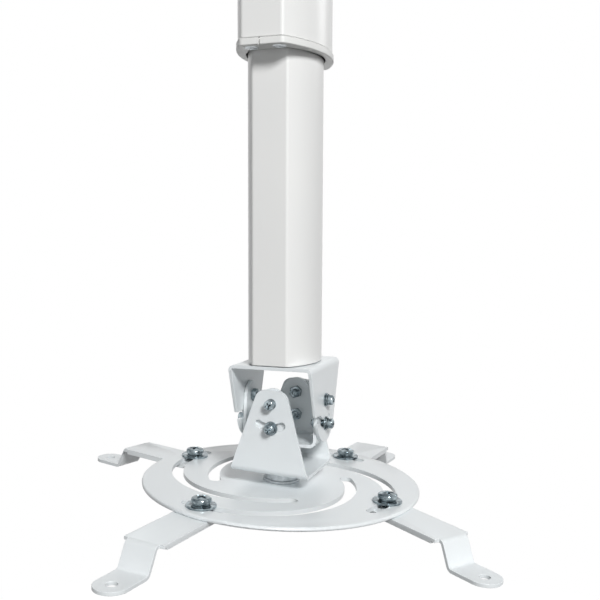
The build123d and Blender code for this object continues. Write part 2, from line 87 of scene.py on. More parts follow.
# %% [markdown]
# ## Moving a shape about
#
# Every shape is an array of points. A four by four matrix moves and turns the whole array at once,
# and matrices multiplied together place a screw in one step. The head below the side-to-side pivot
# stands a little rolled, as somebody left it, so its pieces share one matrix called lean.


# %% Matrices
def move(x=0.0, y=0.0, z=0.0):
    """Every point is shifted by (x, y, z)."""
    m = np.eye(4)
    m[:3, 3] = (x, y, z)
    return m


def turn(axis, degrees):
    """Every point turns about an axis through the origin, by the right-hand rule."""
    return np.array(Matrix.Rotation(math.radians(degrees), 4, axis))


def placed(shape, matrix):
    """The shape with each point p replaced by matrix times p."""
    points, faces = shape
    return points @ matrix[:3, :3].T + matrix[:3, 3], faces


lean = move(z=pivot_z) @ turn("Y", roll_as_shown) @ move(z=-pivot_z)
print("the plate's middle leans to", np.round((lean @ (0, 0, plate_top, 1))[:3], 1))

# %% [markdown]
# ## From a grid of points to a piece
#
# A surface is a function of two parameters. We work it out on a grid, join neighbouring grid points
# with quads, and let a closed direction run on from its last row to its first. Poles, where a whole
# row shrinks to one point, are merged, so each mesh ends up watertight with its faces outwards.
# Shading is smooth except at real corners, and weighted normals keep the large flats flat.
# Each piece stands for the CAD node of its own name.

# %% Grids, meshes and pieces
sharp_angle = math.radians(38)
merge_distance, shortest_edge = 2e-7, 1e-7


def surface(points, closed_u=True, closed_v=True):
    """Quads between grid points (i, j), (i+1, j), (i+1, j+1), (i, j+1), whole arrays at a time."""
    rows, columns = points.shape[:2]
    i = np.arange(rows if closed_u else rows - 1)[:, None]
    j = np.arange(columns if closed_v else columns - 1)[None, :]
    here, below = i * columns, (i + 1) % rows * columns
    beside = (j + 1) % columns
    corners = np.broadcast_arrays(here + j, below + j, below + beside, here + beside)
    return points.reshape(-1, 3), np.stack(corners, -1).reshape(-1, 4)


def joined(shapes):
    """Several shapes as one: each one's face numbers are raised by the points before it."""
    counts = np.cumsum([0] + [len(points) for points, _ in shapes])
    points = np.concatenate([points for points, _ in shapes])
    faces = np.concatenate([faces + start for (_, faces), start in zip(shapes, counts)])
    return points, faces


def new_object(name, data):
    """An object round a mesh, a lamp or a camera, put into the scene."""
    obj = bpy.data.objects.new(name, data)
    bpy.context.scene.collection.objects.link(obj)
    return obj


def shade(obj):
    """Smooth shading, with the edges kept sharp that turn by more than the sharp angle."""
    obj.data.shade_smooth()
    obj.data.set_sharp_from_angle(angle=sharp_angle)


def stand_for(obj, node):
    """The object takes a CAD node's place and moves with its body."""
    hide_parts(node)
    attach(obj, body_of[node])


def piece(name, shapes, coat):
    """One object out of closed shapes in millimetres, standing for the CAD node of that name."""
    points, faces = joined(shapes)
    mesh = bpy.data.meshes.new(name)
    mesh.from_pydata(points * metre, [], faces)
    shell = bmesh.new()
    shell.from_mesh(mesh)
    bmesh.ops.remove_doubles(shell, verts=shell.verts, dist=merge_distance)
    bmesh.ops.dissolve_degenerate(shell, edges=shell.edges, dist=shortest_edge)
    bmesh.ops.recalc_face_normals(shell, faces=shell.faces)
    shell.to_mesh(mesh)
    shell.free()
    mesh.materials.append(coat)
    obj = new_object(name, mesh)
    shade(obj)
    obj.modifiers.new("Flats stay flat", "WEIGHTED_NORMAL").keep_sharp = True
    stand_for(obj, name)
    print(f"{name}: {len(mesh.polygons)} faces")


# %% [markdown]
# ## White powder coat
#
# Powder coat is a thick baked paint: glossy, with a faint orange peel of about a millimetre, and
# with slow waves where the powder lay thicker. The colour hardly changes, so the look comes from
# gloss. Two noises do it: a fine one drives the bump, and a broad one moves roughness and colour
# slightly. The head, the round plate and the arms get a copy of the tubes' coat a shade cooler: a
# painted tint that stands in for the cooler light falling on them. The collar is moulded plastic in
# nearly the same white, with a finer, duller grain.

# %% Painted and moulded finishes
noise_low, noise_high = 0.3, 0.7
grain_detail, grain_shift = 2.0, 5.0
coat_roughness = 0.17


def new_node(tree, kind, settings=None):
    """A new shader node, with the inputs that settings names given their values."""
    made = tree.nodes.new("ShaderNode" + kind)
    for socket, value in (settings or {}).items():
        made.inputs[socket].default_value = value
    return made


def link(tree, source, output, target, socket):
    """Join one node's output to another's socket."""
    tree.links.new(source.outputs[output], target.inputs[socket])


def noise(tree, coordinates, scale, detail, seed):
    """A noise of so many waves per metre over the piece; each seed is a fresh part of it."""
    shift = new_node(tree, "Mapping", {"Location": (seed, 2.0 * seed, 3.0 * seed)})
    texture = new_node(tree, "TexNoise", {"Scale": scale, "Detail": detail})
    link(tree, coordinates, "Object", shift, "Vector")
    link(tree, shift, "Vector", texture, "Vector")
    return texture


def spread_colour(tree, texture, dark, light):
    """The middle part of a noise spread between two colours."""
    ramp = new_node(tree, "ValToRGB")
    ends = zip(ramp.color_ramp.elements, (noise_low, noise_high), (dark, light))
    for end, position, colour in ends:
        end.position, end.color = position, (*colour, 1.0)
    link(tree, texture, "Fac", ramp, "Fac")
    return ramp


def spread_number(tree, texture, low, high):
    """The middle part of a noise spread between two numbers."""
    band = new_node(tree, "MapRange", {"From Min": noise_low, "From Max": noise_high,
                                       "To Min": low, "To Max": high})
    link(tree, texture, "Fac", band, "Value")
    return band


def finish(name, dark, light, rough, broad, fine, bump_height,
           metallic=0.0, coat=0.0, detail=1.0, seed=0.0):
    """Colour and roughness drift on a broad noise, and a fine noise bumps the skin."""
    material = bpy.data.materials.new(name)
    material.use_nodes = True
    tree = material.node_tree
    shader = tree.nodes["Principled BSDF"]
    coordinates = new_node(tree, "TexCoord")
    drift = noise(tree, coordinates, broad, detail, seed)
    grain = noise(tree, coordinates, fine, grain_detail, seed + grain_shift)
    bump = new_node(tree, "Bump", {"Strength": 1.0, "Distance": bump_height})
    link(tree, spread_colour(tree, drift, dark, light), "Color", shader, "Base Color")
    link(tree, spread_number(tree, drift, *rough), "Result", shader, "Roughness")
    link(tree, grain, "Fac", bump, "Height")
    link(tree, bump, "Normal", shader, "Normal")
    shader.inputs["Metallic"].default_value = metallic
    shader.inputs["Coat Weight"].default_value = coat
    shader.inputs["Coat Roughness"].default_value = coat_roughness
    material.diffuse_color = (*light, 1.0)
    print("finish:", material.name)
    return material


white_coat = finish("white_powder_coat", (0.820, 0.824, 0.814), (0.838, 0.840, 0.828),
                    rough=(0.28, 0.33), broad=14.0, fine=950.0, bump_height=0.000009, coat=0.2)
# Painted tint: this copy is cooler only to stand in for the cooler light on the head, plate and arms.
coat_painted_cool_tint = finish("white_powder_coat_painted_cool_tint", (0.776, 0.814, 0.830), (0.796, 0.830, 0.842),
                   rough=(0.28, 0.33), broad=14.0, fine=950.0, bump_height=0.000009, coat=0.2,
                   seed=6.0)
white_plastic = finish("white_plastic", (0.795, 0.800, 0.786), (0.822, 0.825, 0.810),
                       rough=(0.34, 0.44), broad=60.0, fine=1900.0, bump_height=0.000010, seed=1.0)
grey_plastic = finish("grey_plastic", (0.062, 0.065, 0.066), (0.085, 0.088, 0.088),
                      rough=(0.48, 0.60), broad=80.0, fine=1500.0, bump_height=0.000020, seed=2.0)

# %% [markdown]
# ## Zinc plating
#
# Zinc plated screws and washers are metal with a cool blue cast. The plating is a little uneven,
# and the colour is mottled over a few millimetres, so one washer shows dark and bright patches at
# once. The dark end of that range and most of the patches are painted reflection: they stand in
# for dark surroundings that the white sky does not give. The same finish function makes it, with
# metallic set to one and a wider range of colour. Large washers and the collar's screws are duller
# and paler.

# %% Zinc
# The dark end of this colour range and its patches are painted reflection of dark surroundings.
zinc = finish("zinc_plated_steel", (0.055, 0.078, 0.092), (0.46, 0.53, 0.56),
              rough=(0.10, 0.20), broad=240.0, fine=3000.0, bump_height=0.000004,
              metallic=1.0, detail=2.0, seed=3.0)
dull_zinc = finish("dull_zinc", (0.48, 0.51, 0.53), (0.68, 0.71, 0.73),
                   rough=(0.40, 0.52), broad=300.0, fine=2600.0, bump_height=0.000012,
                   metallic=0.85, detail=3.0, seed=4.0)

# %% [markdown]
# ## The two tubes
#
# Each tube is drawn steel, flat at the front and back, with sides that bulge outwards and rounded
# corners. Its section is a closed path with a normal at every point. A small profile of the wall,
# with both rims rounded, is carried round that path: the first number of the profile moves a point
# along the normal and the second is its height. The collar is carried round the same path later.

# %% The tube's section
corner_steps, side_steps = 8, 28


def tube_path(flat, width, depth, corner_r=tube_corner_r, extra_x=()):
    """Points and outward normals round the section, anticlockwise from the front.

    The side arc has centre (c, 0) and radius R = width/2 - c, and passes through the flat's end.
    A corner arc of radius r touches the flat and the side arc: its centre is R - r from (c, 0).
    """
    e, h, w = flat / 2, depth / 2, width / 2
    c = (w**2 - e**2 - h**2) / (2 * (w - e))
    big = w - c
    corner_x = c + math.sqrt((big - corner_r) ** 2 - (h - corner_r) ** 2)
    tilt = math.atan2(-(h - corner_r), corner_x - c)
    a = np.linspace(-math.pi / 2, tilt, corner_steps + 1)
    b = np.linspace(tilt, -tilt, side_steps + 1)[1:-1]
    front = np.array(sorted({-corner_x, corner_x, *extra_x}))[1:-1]
    corner = np.stack([corner_x + corner_r * np.cos(a), corner_r - h + corner_r * np.sin(a)], -1)
    side = np.stack([c + big * np.cos(b), big * np.sin(b)], -1)
    right = np.concatenate([corner, side, corner[::-1] * (1, -1)])
    angles = np.concatenate([a, b, -a[::-1]])
    normal = np.stack([np.cos(angles), np.sin(angles)], -1)
    seam = np.stack([front, np.full_like(front, -h)], -1)
    seam_normal = np.tile((0.0, -1.0), (len(front), 1))
    return np.concatenate([right, -right, seam]), np.concatenate([normal, -normal, seam_normal])


def raised(flat, heights):
    """A grid of (x, y) points, with each column j lifted to heights[j]."""
    z = np.broadcast_to(heights, flat.shape[:2])[..., None]
    return np.concatenate([flat, z], -1)


def carried(path, profile):
    """A closed profile of (offset along the normal, height) pairs carried round a closed path."""
    points, normals = path
    offset, height = np.asarray(profile, float).T
    return surface(raised(points[:, None] + normals[:, None] * offset[None, :, None], height))


def rounded_box(left, right, bottom, top, r, steps=3):
    """A rectangle with round corners, as a closed list of (offset, height) pairs."""
    a = np.linspace(0, math.pi / 2, steps + 1)
    quarter = np.stack([np.cos(a), np.sin(a)], -1) * r
    centres = ((right - r, top - r), (left + r, top - r),
               (left + r, bottom + r), (right - r, bottom + r))
    rows = []
    for k, centre in enumerate(centres):
        cos, sin = math.cos(k * math.pi / 2), math.sin(k * math.pi / 2)
        rows.append(quarter @ np.array([[cos, sin], [-sin, cos]]) + centre)
    return np.concatenate(rows)


# %% [markdown]
# ## Where the tubes end
#
# A thin dark joint shows above the collar and over the fork, so each tube stops a little short
# there. The outer tube's corners are rounder than the inner one's.

# %% Make the tubes
rim_r, outer_corner_r = 0.65, 3.6
collar_gap, foot_gap = 0.5, 0.45
outer_path = tube_path(outer_flat, outer_width, outer_depth, corner_r=outer_corner_r)
inner_path = tube_path(inner_flat, inner_width, inner_depth)
for name, path, bottom, top in (
    ("outer_tube", outer_path, outer_bottom + collar_gap, -ceiling_plate_t),
    ("inner_tube", inner_path, fork_top + foot_gap, fork_top + inner_length),
):
    piece(name, [carried(path, rounded_box(-tube_wall, 0, bottom, top, rim_r))], white_coat)

# %% [markdown]
# ## The collar
#
# The collar closes the gap between the tubes. It is a moulded ring, proud of the outer tube by a
# millimetre, with a soft lower edge. A narrow slot runs up the middle of its front, left by the
# mould: the path gets a few more points there, and the ring's outer rows are pulled in between
# them. Its inside follows the inner tube, with more room at the bulged sides than at the flats.

# %% Make the collar
slot_x, slot_half, slot_deep, slot_wall, slot_slack = -1.2, 0.5, 1.8, 0.1, 0.01
lower_round, upper_edge, inner_edge, ring_body = 0.8, 0.2, 0.3, 5.0
flat_clearance, side_clearance = 0.25, 1.1
collar_top = collar_bottom + collar_t
slot_left, slot_right = slot_x - slot_half, slot_x + slot_half
slot_points = (slot_left - slot_wall, slot_left, slot_right, slot_right + slot_wall)
points, normals = tube_path(outer_flat, outer_width, outer_depth, extra_x=slot_points)
inner_points, inner_normals = tube_path(inner_flat, inner_width, inner_depth, extra_x=slot_points)

a = np.linspace(0, math.pi / 2, 5)
soft_edge = np.stack([collar_proud - lower_round + lower_round * np.sin(a),
                      collar_bottom + lower_round - lower_round * np.cos(a)], -1)
outer_rows = np.concatenate([
    [(-ring_body, collar_bottom)],
    soft_edge,
    [(collar_proud, collar_top - upper_edge), (collar_proud - upper_edge, collar_top)],
    [(-ring_body, collar_top)],
])
in_slot = (np.abs(points[:, 0] - slot_x) < slot_half + slot_slack) & (points[:, 1] < 0)
slot_floor = np.minimum(outer_rows[:, 0], collar_proud - slot_deep)
offset = np.where(in_slot[:, None], slot_floor, outer_rows[:, 0])
outside = raised(points[:, None] + normals[:, None] * offset[..., None], outer_rows[:, 1])

room = flat_clearance + side_clearance * inner_normals[:, :1] ** 2
inner_rows = (collar_top, collar_top - inner_edge, collar_bottom + inner_edge, collar_bottom)
inner_wall = (inner_points + inner_normals * room)[:, None]
inside = raised(np.repeat(inner_wall, len(inner_rows), axis=1), inner_rows)
piece("collar", [surface(np.concatenate([outside, inside], 1))], white_plastic)

# %% [markdown]
# ## Screws, nuts and washers
#
# A turned piece is a profile of (radius, height) pairs spun about the upright axis. Three changes
# make fasteners of it. A thread is a wave in the radius that climbs one pitch a turn. A hexagon is
# a radius that grows towards six corners. A cross recess is a dip in the height of a head's top,
# deepest in the middle. All three are sums on the same grid.


# %% Washers and threads
def spun(profile, steps):
    """Each (radius r, height z) pair becomes the circle (r cos a, r sin a, z)."""
    r, z = np.asarray(profile, float).T
    angle = np.linspace(0, 2 * math.pi, steps, endpoint=False)[:, None]
    height = np.broadcast_to(z, (steps, len(z)))
    return np.stack([r * np.cos(angle), r * np.sin(angle), height], -1)


def ring(outer_r, inner_r, bottom, top, edge=0.15, steps=48):
    """A washer: a rectangle with round corners, spun about the axis."""
    return surface(spun(rounded_box(inner_r, outer_r, bottom, top, edge, steps=2), steps))


def threaded(radius, pitch, bottom, top, steps=28):
    """A threaded rod with its tip at the bottom.

    At angle a and height z the radius is r less the depth times a wave, which is the distance of
    z/pitch - a/2pi from a whole number, doubled. The tip tapers over its first part of a pitch.
    """
    rows_a_pitch, fewest_rows = 6, 8
    thread_depth, tip_length, tip_cut = 0.55 * pitch, 0.8 * pitch, 0.7 * pitch
    rows = max(int((top - bottom) / pitch * rows_a_pitch), fewest_rows)
    z = np.linspace(bottom, top, rows)
    grid = spun(np.stack([np.full(rows, radius), z], -1), steps)
    turns = np.linspace(0, 1, steps, endpoint=False)[:, None]
    wave = np.abs((z[None, :] / pitch - turns) % 1.0 - 0.5) * 2
    taper = np.clip((z - bottom) / tip_length, 0, 1)
    r = radius - thread_depth * wave - (1 - taper)[None, :] * tip_cut
    grid[..., :2] *= (r / radius)[..., None]
    tip, end = grid[:, :1].copy(), grid[:, -1:].copy()
    tip[..., :2], end[..., :2] = 0, 0
    return surface(np.concatenate([tip, grid, end], 1), closed_v=False)


# %% [markdown]
# ## Heads and nuts
#
# A pan head's profile has a small edge below, a round shoulder and a crown that falls off with the
# square of the radius. A hexagon has one radius for each angle, and cones cut its corners off at
# both ends. A spring washer is a square bar bent round most of a turn.


# %% Heads, nuts and spring washers
def cross_dip(x, y, reach, half_width, depth):
    """How far a cross recess goes down at (x, y): two wings, shallower towards their ends."""
    swell, narrowing, rise = 1.15, 0.3, 0.65
    wide = np.maximum(np.abs(x), np.abs(y))
    narrow = np.minimum(np.abs(x), np.abs(y))
    inside = (wide < reach) & (narrow < half_width * (swell - narrowing * wide / reach))
    return np.where(inside, depth * (1 - rise * wide / reach), 0.0)


def pan_head(head_r, head_t, shoulder, steps=72):
    """A pan head on z = 0: a crown over round shoulders, less the cross recess in its height."""
    under_edge, side_share = 0.15, 0.86
    recess_reach, recess_half, recess_deep = 0.60 * head_r, 0.15 * head_r, 0.62 * head_t
    side_top, flat_r = side_share * head_t, head_r - shoulder
    a = np.linspace(0, math.pi / 2, 6)
    foot = [(0, 0), (head_r - under_edge, 0), (head_r, under_edge)]
    side = np.stack([flat_r + shoulder * np.cos(a), side_top - shoulder + shoulder * np.sin(a)], -1)
    inner_r = np.linspace(flat_r, 0, 26)[1:]
    crown_z = side_top + (head_t - side_top) * (1 - (inner_r / flat_r) ** 2)
    grid = spun(np.concatenate([foot, side, np.stack([inner_r, crown_z], -1)]), steps)
    crown = grid[:, len(foot) + len(side):]
    x, y = crown[..., 0], crown[..., 1]
    crown[..., 2] -= cross_dip(x, y, recess_reach, recess_half, recess_deep)
    return surface(grid, closed_v=False)


def hexagon(flats, bore_r, bottom, top, steps=72):
    """A nut or head: radius = apothem / cos(angle to the nearest flat), less a cone at each end."""
    apothem, sixth = flats / 2, math.pi / 3
    cone_r, cone_slope = 0.96 * apothem, math.tan(math.radians(28))
    angle = np.linspace(0, 2 * math.pi, steps, endpoint=False)
    hexed = apothem / np.cos((angle + sixth / 2) % sixth - sixth / 2)
    fall = (hexed - cone_r) * cone_slope
    bore, cone = np.full(steps, bore_r), np.full(steps, cone_r)
    low, high = np.full(steps, bottom), np.full(steps, top)
    r = np.stack([bore, cone, hexed, hexed, cone, bore], -1)
    z = np.stack([low, low, low + fall, high - fall, high, high], -1)
    x, y = r * np.cos(angle)[:, None], r * np.sin(angle)[:, None]
    return surface(np.stack([x, y, z], -1), closed_v=bore_r > 0)


def split_ring(outer_r, inner_r, thickness, steps=56):
    """A spring washer: a bar bent round most of a turn, its slanting ends sprung apart."""
    gap, slant, slant_centre = math.radians(9), 0.9, 0.4
    bar_t, climb, bar_edge = 0.80 * thickness, 0.20 * thickness, 0.12
    bar = rounded_box(inner_r, outer_r, 0.0, bar_t, bar_edge, steps=1)
    s = np.linspace(0, 1, steps)[:, None]
    lean_back = gap * slant * (bar[:, 1] / thickness - slant_centre)[None, :]
    angle = gap / 2 + s * (2 * math.pi - gap) + lean_back
    r = np.broadcast_to(bar[:, 0], angle.shape)
    grid = np.stack([r * np.cos(angle), r * np.sin(angle), bar[:, 1][None, :] + climb * s], -1)
    caps = [np.broadcast_to(end.mean(1, keepdims=True), end.shape) for end in (grid[:1], grid[-1:])]
    return surface(np.concatenate([caps[0], grid, caps[1]]), closed_u=False)


trial_head = pan_head(head_r=3.5, head_t=4.1, shoulder=0.9)
print("a screw head has", len(trial_head[1]), "quads")

# %% [markdown]
# ## The fasteners of the tubes
#
# Four shallow screws hold the collar to the bush inside, and two hexagon screws at the back,
# through nuts welded on the outer tube, press on the inner tube and lock the height. Screw heads
# never stop at the same angle, so each gets its own turn from a seeded row of random numbers.

# %% Collar screws
chance = np.random.default_rng(7)


def any_turn():
    """A turn about the upright axis by a chance angle."""
    return turn("Z", chance.uniform(0, 360))


collar_screw_x, collar_screw_y = 9.6, (inner_depth + outer_depth) / 4
collar_head_r, collar_head_t, collar_shoulder, collar_sink = 4.6, 1.5, 0.7, 0.7
collar_thread_r, collar_pitch, collar_thread, collar_into_head = 1.75, 0.7, 12.5, 0.2
collar_screws = []
for side in (-1, 1):
    for x in (-collar_screw_x, collar_screw_x):
        place = move(x, side * collar_screw_y, collar_bottom + collar_sink)
        seat = place @ turn("X", 180) @ any_turn()
        head = pan_head(collar_head_r, collar_head_t, collar_shoulder)
        rod = threaded(collar_thread_r, collar_pitch, -collar_thread, collar_into_head)
        collar_screws += [placed(head, seat), placed(rod, seat)]
piece("collar_screws", collar_screws, dull_zinc)

# %% Height lock
lock_r, lock_pitch, lock_tip_gap, lock_into_head = 3.0, 1.0, 0.15, 0.5
lock_nut_flats, lock_nut_t, lock_head_flats, lock_head_t = 10.0, 5.0, 10.0, 4.0
lock_heights, lock_gap, weld_turn = (18.0, 44.0), 1.5, 12
face = outer_depth / 2
head = face + lock_nut_t + lock_gap
lock_screws, lock_nuts = [], []
for height in lock_heights:
    lie_back = move(z=outer_bottom + height) @ turn("X", -90)
    back = lie_back @ turn("Z", chance.uniform(-weld_turn, weld_turn))
    nut = hexagon(lock_nut_flats, lock_r, face, face + lock_nut_t)
    rod = threaded(lock_r, lock_pitch, inner_depth / 2 + lock_tip_gap, head + lock_into_head)
    cap = hexagon(lock_head_flats, 0.0, head, head + lock_head_t)
    lock_nuts.append(placed(nut, back))
    lock_screws += [placed(rod, back), placed(cap, back @ any_turn())]
piece("height_lock_screws", lock_screws, zinc)
piece("height_lock_nuts", lock_nuts, zinc)

# %% [markdown]
# ## The screws of the head
#
# Eight pan-head screws work in pairs: one pair is the tilt pivot and one locks the tilt in its
# slot, and the same again for the roll. Each has a spring washer and a flat washer outside and a
# nut inside. We build one set along the upright axis, then lay it on its side and turn it to its
# face. The roll pivots carry small washers, the others wide ones. Each washer keeps a hair's
# breadth off the paint, so that it slides over it in every pose.

# %% The four pairs
m5_r, m5_head_r, m5_head_t, m5_shoulder = 2.5, 3.5, 4.1, 0.9
m5_washer_t, m5_spring_t, m5_nut_flats, m5_nut_t = 1.0, 1.2, 8.0, 4.0
m5_tail, m5_pitch, m5_washer_play = 1.5, 0.8, 0.15
wide_washers, small_washers = (4.9, 4.2), (3.75, 3.6)
into_head, spring_play, nut_bite, seat_gap = 0.3, 0.1, 0.05, 0.03
across = fork_width - 2 * (sheet + tab_gap)
along = lower_fork_depth - 2 * (sheet + tab_gap)
lock_z = pivot_z - lock_radius
tilt_faces = (fork_width / 2, across / 2 - sheet, 0)
roll_faces = (lower_fork_depth / 2, along / 2 - sheet, 90)
for name, height, (outer_face, inner_face, about), (washer_r, spring_r) in (
    ("tilt_pivot", pivot_z, tilt_faces, wide_washers),
    ("tilt_lock", lock_z, tilt_faces, wide_washers),
    ("roll_pivot", pivot_z, roll_faces, small_washers),
    ("roll_lock", lock_z, roll_faces, wide_washers),
):
    rows = {"screws": [], "spring_washers": [], "washers": [], "nuts": []}
    washer_top = outer_face + m5_washer_t
    seat = outer_face + m5_washer_t + m5_spring_t
    tip = inner_face - m5_nut_t - m5_tail
    head = pan_head(m5_head_r, m5_head_t, m5_shoulder)
    rod = threaded(m5_r, m5_pitch, tip, seat + into_head)
    spring = split_ring(spring_r, m5_r + spring_play, m5_spring_t)
    washer = ring(washer_r, m5_r + m5_washer_play, outer_face + seat_gap, washer_top)
    nut = hexagon(m5_nut_flats, m5_r - nut_bite, inner_face - m5_nut_t, inner_face)
    for half in (0, 180):
        axis = move(z=height) @ turn("Z", about + half) @ turn("Y", 90)
        rows["screws"] += [placed(head, axis @ move(z=seat) @ any_turn()), placed(rod, axis)]
        rows["spring_washers"].append(placed(spring, axis @ move(z=washer_top) @ any_turn()))
        rows["washers"].append(placed(washer, axis))
        rows["nuts"].append(placed(nut, axis @ any_turn()))
    for kind, shapes in rows.items():
        piece(f"{name}_{kind}", shapes, zinc)

# %% [markdown]
# ## The swivel stack
#
# One thick bolt comes up through the round plate and the lower fork's base, and a lock nut with a
# plastic-lined crown holds it inside the fork. A spacer and a wide washer keep the fork off the
# plate.

# %% Bolt, washers and spacer
swivel_r, swivel_flats, swivel_head_t, swivel_nut_t, swivel_tail = 4.0, 13.0, 5.3, 8.0, 1.5
swivel_pitch, swivel_into_head, swivel_play = 1.25, 0.5, 0.1
spacer_r, big_washer_r, bolt_washer_r, washer_t, washer_edge = 11.6, 13.4, 8.0, 1.6, 0.3
fork_base = plate_top + base_above_plate
under_plate = plate_top - plate_t
head_top = under_plate - washer_t
nut_bottom = fork_base + sheet + washer_t
swivel_tip = nut_bottom + swivel_nut_t + swivel_tail
upside_down = lean @ move(z=swivel_tip) @ turn("X", 180)
rod = threaded(swivel_r, swivel_pitch, 0.0, swivel_tip - head_top + swivel_into_head)
head = hexagon(swivel_flats, 0.0, head_top - swivel_head_t, head_top)
piece("swivel_bolt", [placed(rod, upside_down), placed(head, lean @ turn("Z", 17))], zinc)
for name, radius, bottom, top, plating in (
    ("swivel_bolt_washer", bolt_washer_r, head_top, under_plate, zinc),
    ("swivel_plate_washer", big_washer_r, plate_top, plate_top + washer_t, dull_zinc),
    ("swivel_spacer", spacer_r, plate_top + washer_t, fork_base, dull_zinc),
    ("swivel_nut_washer", bolt_washer_r, fork_base + sheet, nut_bottom, zinc),
):
    disc = ring(radius, swivel_r + swivel_play, bottom, top, edge=washer_edge, steps=96)
    piece(name, [placed(disc, lean)], plating)

# %% Lock nut
crown_r, crown_bore, crown_overlap, crown_round = 0.44 * swivel_flats, swivel_r - 0.02, 0.5, 0.9
crown_bottom, crown_top = nut_bottom + 0.68 * swivel_nut_t, nut_bottom + swivel_nut_t
nut = hexagon(swivel_flats, swivel_r - nut_bite, nut_bottom, crown_bottom)
crown = ring(crown_r, crown_bore, crown_bottom - crown_overlap, crown_top, edge=crown_round)
piece("swivel_lock_nut", [placed(nut, lean @ turn("Z", 8)), placed(crown, lean)], zinc)

# %% [markdown]
# ## Folded and cut sheet metal
#
# The forks, the bracket, the round plate and the arms are cut flat and folded, and their CAD solids
# already have every slot and bend. What they lack is what the paint does at a cut edge: it pulls
# back into a small round. So we copy each solid, merge its doubled points, melt the triangles of
# every flat into one face, and bevel the sharp edges by a few tenths of a millimetre.

# %% Soften the edges of the sheet pieces
paint_edge = 0.35
cad_merge_distance, cad_shortest_edge, flat_angle = 3e-6, 2e-6, math.radians(0.8)


def softened(node, coat):
    """A copy of a CAD node with flats joined and its edges rounded, standing for the node."""
    mesh = frame["nodes"][node].data.copy()
    mesh.name = node + "_coated"
    metal = bmesh.new()
    metal.from_mesh(mesh)
    bmesh.ops.remove_doubles(metal, verts=metal.verts, dist=cad_merge_distance)
    bmesh.ops.dissolve_degenerate(metal, edges=metal.edges, dist=cad_shortest_edge)
    bmesh.ops.dissolve_limit(metal, angle_limit=flat_angle, verts=metal.verts, edges=metal.edges)
    metal.to_mesh(mesh)
    metal.free()
    mesh.materials.clear()
    mesh.materials.append(coat)
    obj = new_object(node + "_coated", mesh)
    shade(obj)
    bevel = obj.modifiers.new("Paint edge", "BEVEL")
    bevel.width = paint_edge * metre
    bevel.segments = 2
    bevel.limit_method = "ANGLE"
    bevel.angle_limit = sharp_angle
    bevel.miter_outer = "MITER_ARC"
    bevel.harden_normals = True
    stand_for(obj, node)
    print(f"{obj.name}: {len(mesh.polygons)} faces before the bevel")


softened("ceiling_plate", white_coat)
# The head, the round plate and the arms wear the coat with the painted cool tint.
for node in ("upper_fork", "cross_bracket", "lower_fork", "round_plate",
             "arm_back_left", "arm_front_left", "arm_front_right", "arm_back_right"):
    softened(node, coat_painted_cool_tint)

# %% [markdown]
# ## The clamp bolts on the plate
#
# Each arm hangs under the round plate on one bolt in a spiral slot: pan head, spring washer and a
# wide washer on top, and a nut welded under the arm. The joints of the frame say where each bolt's
# axis is, so the places are read from there.

# %% Four clamp sets
m6_r, m6_head_r, m6_head_t, m6_shoulder = 3.0, 6.8, 3.5, 1.5
m6_spring_r, m6_spring_t, m6_washer_r, m6_washer_t = 5.8, 1.6, 10.2, 1.6
m6_nut_flats, m6_nut_t, m6_tail, m6_pitch = 10.0, 5.0, 1.5, 1.0
m6_washer_play, m6_washer_edge = 0.2, 0.35
arm_sheet, arm_slide_gap = 2.4, 0.15
washer_top = plate_top + m6_washer_t
seat = washer_top + m6_spring_t
nut_top = plate_top - plate_t - arm_slide_gap - arm_sheet
tip = nut_top - m6_nut_t - m6_tail
head = pan_head(m6_head_r, m6_head_t, m6_shoulder)
rod = threaded(m6_r, m6_pitch, tip, seat + into_head)
spring = split_ring(m6_spring_r, m6_r + spring_play, m6_spring_t)
washer = ring(m6_washer_r, m6_r + m6_washer_play, plate_top + seat_gap, washer_top,
              edge=m6_washer_edge, steps=72)
nut = hexagon(m6_nut_flats, m6_r - nut_bite, nut_top - m6_nut_t, nut_top)

joint_at = {joint["name"]: np.array(joint.get("pos_m", (0, 0, 0))) / metre
            for joint in frame["joints"]}
upright = np.linalg.inv(lean)
for corner in ("back_left", "front_left", "front_right", "back_right"):
    at = upright @ np.array([*joint_at["arm_swing_" + corner], 1.0])
    axis = lean @ move(at[0], at[1], 0)
    for kind, shapes in (
        ("bolt", [placed(head, axis @ move(z=seat) @ any_turn()), placed(rod, axis)]),
        ("spring_washer", [placed(spring, axis @ move(z=washer_top) @ any_turn())]),
        ("washer", [placed(washer, axis)]),
        ("nut", [placed(nut, axis @ any_turn())]),
    ):
        piece(f"clamp_{kind}_{corner}", shapes, zinc)

# %% [markdown]
# ## What keeps its CAD mesh
#
# Only the guide bush stays as it is, because it sits hidden between the two tubes. It gets its
# finish through its own material slots.

# %% Guide bush
bush = frame["nodes"]["guide_bush"]
bush.data.materials.clear()
bush.data.materials.append(grey_plastic)
print("guide bush finish:", bush.data.materials[0].name)

# %% [markdown]
# ## Floor and backdrop
#
# The photograph has no surroundings, only white. The mount hangs, so the floor lies well below it.
# To light that bounces, the floor is dark and the sky is weak, because the undersides are dark in
# the picture. The eye, reflections and glass see a floor that catches the object's shadow, lifted
# to white by a little glow, and a white sky.

# %% Floor and world
floor_z, floor_half = -1.35, 6.0
bounce_grey, seen_grey, floor_glow = 0.12, 0.86, 0.66
fade_from, fade_to = 0.5, 1.7
sky_tint, sky_strength = (0.97, 0.985, 1.0, 1), 0.12
corners = ((-1, -1), (1, -1), (1, 1), (-1, 1))
floor_mesh = bpy.data.meshes.new("floor")
floor_mesh.from_pydata([(x * floor_half, y * floor_half, floor_z) for x, y in corners],
                       [], [(0, 1, 2, 3)])
floor = new_object("floor", floor_mesh)


